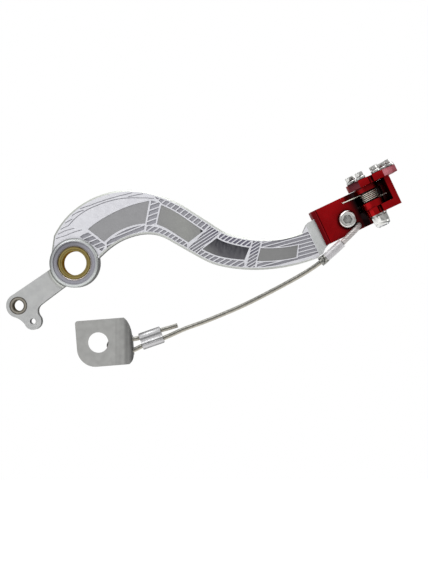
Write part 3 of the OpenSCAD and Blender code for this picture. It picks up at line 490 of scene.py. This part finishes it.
# A darkened copy of the screw steel for the spring sleeve: painted shade inside the coil
shaded = metal("screw_steel", srgb(58, 56, 53), srgb(70, 68, 64), (0.4, 0.5), srgb(12, 11, 10), 4)
wire = metal(
    "spring_steel", srgb(224, 226, 212), srgb(238, 240, 228), (0.16, 0.26), srgb(20, 16, 15), 1.7, (0.2, 0.56),
    metallic=0.65,
)
crimp = metal(
    "crimp_alloy", srgb(186, 184, 186), srgb(202, 200, 202), (0.48, 0.58), srgb(70, 70, 72), 4, metallic=0.6,
)
dark_ring = metal(
    "crimp_dark", srgb(50, 50, 46), srgb(156, 156, 150), (0.3, 0.4), srgb(20, 20, 18), 3, drift=900, metallic=0.7,
)
blue = metal("insert_plastic", srgb(40, 72, 150), srgb(52, 86, 170), (0.4, 0.5), srgb(8, 14, 30), 3, metallic=0.0)

paints = {
    "lever_arm": arm_paint(), "pivot_bush": bronze, "clevis_bush": bush_steel, "head_bracket": red,
    "bracket_screw": bright, "spring_sleeve": shaded, "torsion_spring": wire, "toe_body": red,
    "toe_bolt": bright, "bolt_washer": bright, "lock_nut": bright, "nut_insert": blue,
    "brake_cable": rope_coat(), "cable_stop": crimp, "clear_sleeve": sleeve_coat(), "crimp_sleeve": crimp,
    "crimp_ring": dark_ring, "cable_ferrule": ferrule_metal(), "frame_tab": tab_sheet(),
    **{name: bright for name in STUDS},
}
for name, paint in paints.items():
    for slot in nodes[name].material_slots:
        slot.material = paint


# Pieces: meshes in the place of CAD nodes
def piece(name, bm, node, sharp):
    """Makes a mesh piece, rides it on its node's body and puts it in the node's place."""
    bmesh.ops.recalc_face_normals(bm, faces=bm.faces)
    mesh = bpy.data.meshes.new(name)
    bm.to_mesh(mesh)
    bm.free()
    for face in mesh.polygons:
        face.use_smooth = True
    mesh.set_sharp_from_angle(angle=math.radians(sharp))
    mesh.materials.append(paints[node])
    o = bpy.data.objects.new(name, mesh)
    bpy.context.collection.objects.link(o)
    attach(o, body_of[node])
    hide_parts(node)
    return o


def rings_to(bm, rings, caps=True):
    """Skins a list of equal rings of points."""
    rows = [[bm.verts.new(p) for p in ring] for ring in rings]
    n = len(rows[0])
    for a, b in zip(rows, rows[1:]):
        for k in range(n):
            bm.faces.new((a[k], a[(k + 1) % n], b[(k + 1) % n], b[k]))
    if caps:
        bm.faces.new(rows[0][::-1])
        bm.faces.new(rows[-1])


# A ring has so many points, and a hexagon's flat a sixth of them
FLAT_POINTS = 8
RING_POINTS = 6 * FLAT_POINTS


def circle(r, turn=0.0):
    angles = [2 * math.pi * k / RING_POINTS + turn for k in range(RING_POINTS)]
    return [(r * math.cos(a), r * math.sin(a)) for a in angles]


def hexagon(flat_r, turn, most=math.inf):
    """A hexagon whose flats lie flat_r from its middle, pulled in to a circle where it reaches past most."""
    points = []
    step = math.pi / 3
    r = flat_r / math.cos(step / 2)
    for k in range(6):
        a, b = turn + k * step, turn + (k + 1) * step
        for j in range(FLAT_POINTS):
            u = j / FLAT_POINTS
            x, y = (r * (f(a) * (1 - u) + f(b) * u) for f in (math.cos, math.sin))
            share = min(1.0, most / math.hypot(x, y))
            points.append((x * share, y * share))
    return points


def levels_at(place, rows):
    """The rings of a turned shape, from rows of points and a height."""
    return [[place @ Vector((x * MM, y * MM, h * MM)) for x, y in points] for points, h in rows]


def span(node):
    """A node's lowest and highest reach along the head's axes."""
    points = [v.co for v in nodes[node].data.vertices]
    return [(min(p.dot(a) for p in points), max(p.dot(a) for p in points)) for a in head_axes]


def seat(node, rise):
    """A frame whose Z is one of the head's axes, at the low end of the node, and the node's height in millimetres."""
    limits = span(node)
    mid = [(lo + hi) / 2 for lo, hi in limits]
    mid[rise] = limits[rise][0]
    z = head_axes[rise]
    x = head_axes[(rise + 1) % 3]
    y = z.cross(x)
    at = sum((a * m for a, m in zip(head_axes, mid)), Vector())
    return Matrix.Translation(at) @ Matrix((x, y, z)).transposed().to_4x4(), (limits[rise][1] - limits[rise][0]) / MM


def stud(node, turn):
    """A stud: turned collar, thin neck, and a hexagon with a chamfered top and a cupped, notched face."""
    place, top = seat(node, 2)
    shank_r, collar_r, neck_r, flat_r, corner_r = 2.0, 3.5, 2.1, 2.9, 3.28
    plate = 5.2
    rows = [
        (circle(shank_r - 0.1), 0), (circle(shank_r), 0.2), (circle(shank_r), plate + 0.1),
        (circle(collar_r - 0.4), plate + 0.1), (circle(collar_r), plate + 0.5),
        (circle(collar_r), plate + 1.8), (circle(collar_r - 0.4), plate + 2.3),
        (circle(neck_r), plate + 2.4), (circle(neck_r), plate + 2.7),
        (hexagon(flat_r, turn, 2.95), plate + 2.8), (hexagon(flat_r, turn, corner_r), plate + 3.1),
        (hexagon(flat_r, turn, corner_r), top - 0.4), (hexagon(flat_r, turn, 2.98), top - 0.1),
        (hexagon(flat_r, turn, 2.7), top), (circle(2.2, turn), top), (circle(1.2, turn), top - 0.8),
    ]
    rings = levels_at(place, rows)
    # Notches round the hexagon's rim
    for ring in rings[12:15]:
        for k in range(0, RING_POINTS, 4):
            ring[k] = ring[k] - up * 0.35 * MM
    bm = bmesh.new()
    rings_to(bm, rings)
    piece("%s_hex" % node, bm, node, 30)


def screw():
    """The bracket screw: a cap head with rounded rim, a shallow ring and a hexagon socket."""
    place, top = seat("bracket_screw", 1)
    turn = math.radians(12)
    shank_r, head_r, head_h = 4.0, 6.5, 8.0
    socket_r, socket_depth = 3.0, 2.4
    head_low, dish = top - head_h, top - 0.4
    rows = [
        (circle(shank_r - 0.4, turn), 0), (circle(shank_r, turn), 0.4),
        (circle(shank_r, turn), head_low), (circle(head_r - 0.5, turn), head_low),
        (circle(head_r, turn), head_low + 0.4), (circle(head_r, turn), top - 1.2),
        (circle(6.3, turn), top - 0.6), (circle(5.8, turn), top - 0.1),
        (circle(5.3, turn), top), (circle(4.9, turn), dish), (circle(4.2, turn), dish),
        (hexagon(socket_r + 0.3, turn), dish), (hexagon(socket_r, turn), dish - 0.3),
        (hexagon(socket_r, turn), dish - socket_depth), (circle(0.3, turn), dish - socket_depth - 0.6),
    ]
    bm = bmesh.new()
    rings_to(bm, levels_at(place, rows))
    piece("cap_screw", bm, "bracket_screw", 34)


def nut():
    """The lock nut: a hexagon with turned-down corners and a round crown over its insert."""
    place, top = seat("lock_nut", 2)
    turn = math.radians(20)
    bore_r, flat_r, corner_r, crown_r, lip_r = 4.0, 6.0, 6.8, 5.7, 5.0
    low = top - 5.9
    rows = [
        (circle(bore_r, turn), top), (circle(5.8, turn), top), (hexagon(flat_r, turn, flat_r), top),
        (hexagon(flat_r, turn, corner_r), top - 0.6), (hexagon(flat_r, turn, corner_r), low + 1.0),
        (hexagon(flat_r, turn, flat_r), low + 0.3), (circle(crown_r, turn), low),
        (circle(crown_r, turn), 1.0), (circle(crown_r - 0.3, turn), 0.3), (circle(lip_r, turn), 0),
        (circle(lip_r, turn), 1.9), (circle(bore_r, turn), 2.0),
    ]
    rings = levels_at(place, rows)
    bm = bmesh.new()
    rings_to(bm, rings + [rings[0]], caps=False)
    bmesh.ops.remove_doubles(bm, verts=bm.verts, dist=1e-7)
    piece("crown_nut", bm, "lock_nut", 30)


# The solids leave 0.1 mm for the toe to turn. So much of it is closed where it would show as a line
SLIP_CLOSED = 0.09


def softened(node, name, width, top=None):
    """A copy of a CAD solid with its sharp edges rounded. The points at the height top are raised to the toe."""
    bm = bmesh.new()
    bm.from_mesh(nodes[node].data)
    if top is not None:
        for v in bm.verts:
            if abs(v.co.dot(up) - top) < 0.03 * MM:
                v.co += up * SLIP_CLOSED * MM
    bmesh.ops.remove_doubles(bm, verts=bm.verts, dist=2e-6)
    bmesh.ops.dissolve_limit(bm, angle_limit=math.radians(0.6), verts=bm.verts, edges=bm.edges)
    edges = [e for e in bm.edges if len(e.link_faces) == 2 and e.calc_face_angle(0) > math.radians(28)]
    bmesh.ops.bevel(
        bm, geom=edges, offset=width * MM, segments=2, profile=0.6, affect="EDGES",
        clamp_overlap=True, loop_slide=False,
    )
    bmesh.ops.triangulate(bm, faces=[f for f in bm.faces if len(f.verts) > 4])
    piece(name, bm, node, 26)


for i, name in enumerate(STUDS, 1):
    stud(name, math.radians(i * 25))
screw()
nut()
softened("head_bracket", "bracket", 0.3, top=span("head_bracket")[2][1])
softened("toe_body", "toe", 0.35)


# Wire and rope
def smooth(points, steps):
    """Points of one smooth curve through the given ones."""
    line = []
    for i in range(len(points) - 1):
        a, b, c, d = points[max(i - 1, 0)], points[i], points[i + 1], points[min(i + 2, len(points) - 1)]
        for j in range(steps):
            u = j / steps
            line.append(0.5 * (
                2 * b + (c - a) * u + (2 * a - 5 * b + 4 * c - d) * u * u + (3 * b - a - 3 * c + d) * u ** 3
            ))
    return line + [points[-1]]


def tube(bm, line, radius, sides, shape=None):
    """A closed tube along a line. shape(run, angle) gives the share of the radius at a point."""
    side = Vector((0, 1, 0))
    rings, run = [], 0.0
    for i, p in enumerate(line):
        t = (line[min(i + 1, len(line) - 1)] - line[max(i - 1, 0)]).normalized()
        side = (side - t * side.dot(t)).normalized() if abs(side.dot(t)) < 0.95 else t.orthogonal().normalized()
        other = t.cross(side)
        if i:
            run += (p - line[i - 1]).length
        ring = []
        for k in range(sides):
            a = 2 * math.pi * k / sides
            r = radius * MM * (shape(run, a) if shape else 1)
            ring.append(p + (side * math.cos(a) + other * math.sin(a)) * r)
        rings.append(ring)
    rings_to(bm, rings)


def spring():
    """The torsion spring, wound smooth, with its two straight legs."""
    pivot = Vector(frame["joints"][0]["pos_m"])
    low = span("torsion_spring")[2][0] / MM + 0.6 - pivot.dot(up) / MM
    wire_r, coil_r, pitch, turns, steps = 0.42, 6.25, 1.3, 5, 40
    toe_leg, arm_leg, arm_leg_rise, hook = 12.9, 20.5, 0.41, 1.2

    def place(u, inward, h):
        return pivot + (along * u - out * inward + up * (low + h)) * MM

    line = [place(toe_leg - 1.3 * k, coil_r - hook * (1 - k / 10) ** 2, 0) for k in range(10)]
    for k in range(turns * steps + 1):
        a = math.pi / 2 + 2 * math.pi * k / steps
        line.append(place(coil_r * math.cos(a), coil_r * math.sin(a), pitch * k / steps))
    line += [place(-arm_leg * k / 12, coil_r, pitch * turns + arm_leg_rise * k / 12) for k in range(1, 13)]
    bm = bmesh.new()
    tube(bm, line, wire_r, 14)
    piece("spring", bm, "torsion_spring", 60)


def ferrule():
    """The double ferrule: two barrels pressed together, with lines along them."""
    half_length, web, end = 8.5, 2.0, 0.4
    front = []
    for k in range(65):
        w = 2 * BARREL_R * math.cos(math.pi * k / 64)
        barrel = math.sqrt(max(0.0, BARREL_R ** 2 - (abs(w) - BARREL_R) ** 2))
        depth = max(barrel, web) if abs(w) < BARREL_R else barrel
        share = (2 * BARREL_R - w) / (4 * BARREL_R)
        depth *= 1 - sum(0.12 * math.exp(-((share - line) / 0.04) ** 2) for line in (0.37, 0.69))
        front.append((w, -depth))
    outline = front + [(w, -d) for w, d in front[-2:0:-1]]
    ends = ((-half_length, 0.94), (end - half_length, 1.0), (half_length - end, 1.0), (half_length, 0.94))
    bm = bmesh.new()
    rings_to(bm, [
        [ferrule_at + (ferrule_way * t + ferrule_across * w * size - out * d * size) * MM for w, d in outline]
        for t, size in ends
    ])
    return piece("ferrule", bm, "cable_ferrule", 50)


ROUTE_STEPS = 12
ROPE_D, TWIST = 3.5, 22
rope_curve = smooth(route, ROUTE_STEPS)


def fitting(name, node, first, last, radius, shape):
    """A fitting on the rope, turned round the curve between two of the route's points."""
    bm = bmesh.new()
    stretch = rope_curve[int(first * ROUTE_STEPS):int(last * ROUTE_STEPS) + 1]
    tube(bm, stretch, radius, 32, shape)
    return piece(name, bm, node, 34)


def sleeve_shape(run, a):
    return 0.97 + 0.03 * math.cos(a * 2) if run > 0.4 * MM else 0.9


def pressed(depth, lines):
    """The outline of a crimped tube, pressed in along so many lines."""
    return lambda run, a: 1 - depth * (0.5 + 0.5 * math.cos(a * lines))


def strands(run, a):
    return 1 - 0.02 * (1 - abs(math.cos(3 * (a - run * 2 * math.pi / (TWIST * MM)))))


spring()
fittings = [
    ferrule(),
    fitting("sleeve", "clear_sleeve", 27, 31, 2.3, sleeve_shape),
    fitting("crimp", "crimp_sleeve", 25.5, 27, 3.3, pressed(0.05, 6)),
    fitting("ring", "crimp_ring", 25, 25.5, 3.5, pressed(0.03, 12)),
]

rope_line = rope_curve[::-1]
bm = bmesh.new()
tube(bm, rope_line, ROPE_D / 2, 24, strands)
rope = piece("rope", bm, "brake_cable", 60)


# Studio: a pale room, white where the camera sees it, and darker below and at the sides for gloss
room_world = bpy.data.worlds.new("studio")
bpy.context.scene.world = room_world
room = Net(room_world)
way = room.node("ShaderNodeTexCoord", "Generated")
height = room.fit(room.toward(way, (0, 0, 1)), -1, 1)
across = room.fit(room.toward(way, (1, 0, 0)), -1, 1)
by_height = room.ramp(height, stops((0.0, 172), (0.45, 206), (0.62, 238), (1.0, 255)))
by_side = room.ramp(across, stops((0.0, 190), (0.22, 246), (0.5, 255), (0.75, 236), (1.0, 160)))
seen, camera_sees = room.sight()
backdrop = room.mix(camera_sees, room.multiply(by_height, by_side), (1, 1, 1))
fill = room.node("ShaderNodeBackground", Color=(1, 1, 1), Strength=0.42)
mixed = room.blend(seen, fill, room.node("ShaderNodeBackground", Color=backdrop))
room.put(room.tree.nodes["World Output"].inputs["Surface"], mixed)


def lamp(name, place, target, size, watts):
    data = bpy.data.lights.new(name, "AREA")
    data.size = size
    data.energy = watts
    o = bpy.data.objects.new(name, data)
    bpy.context.collection.objects.link(o)
    o.location = place
    o.rotation_euler = (Vector(target) - Vector(place)).to_track_quat("-Z", "Y").to_euler()


lamp("key", (-0.35, -0.7, 0.75), (0.08, 0, 0), 0.5, 5)
lamp("side", (0.95, -0.05, 0.4), (0.2, 0, 0.05), 0.35, 1.3)
lamp("top", (0.15, 0.1, 0.9), (0.1, 0, 0), 0.6, 3)


def ground():
    """A pale floor, well below, that stays white where no shadow falls and isn't there from below."""
    left, right, near, far, level = -0.9, 1.1, -0.9, 0.9, -0.30
    corners = ((left, near), (right, near), (right, far), (left, far))
    bm = bmesh.new()
    bm.faces.new([bm.verts.new((x, y, level)) for x, y in corners])
    mesh = bpy.data.meshes.new("floor")
    bm.to_mesh(mesh)
    bm.free()
    p = Paint("floor")
    p.finish(p.mix(p.noise(3, 2), srgb(236), srgb(240)), 0.9, 0.0)
    plain = p.shader.outputs[0]
    lit = p.node("ShaderNodeAddShader", i0=plain, i1=p.node("ShaderNodeEmission", Strength=0.7))
    from_above = p.blend(p.sight()[0], plain, lit)
    underside = p.node("ShaderNodeNewGeometry", "Backfacing")
    surface = p.blend(underside, from_above, p.node("ShaderNodeBsdfTransparent"))
    p.put(p.tree.nodes["Material Output"].inputs[0], surface)
    mesh.materials.append(p.material)
    o = bpy.data.objects.new("floor", mesh)
    bpy.context.collection.objects.link(o)


ground()
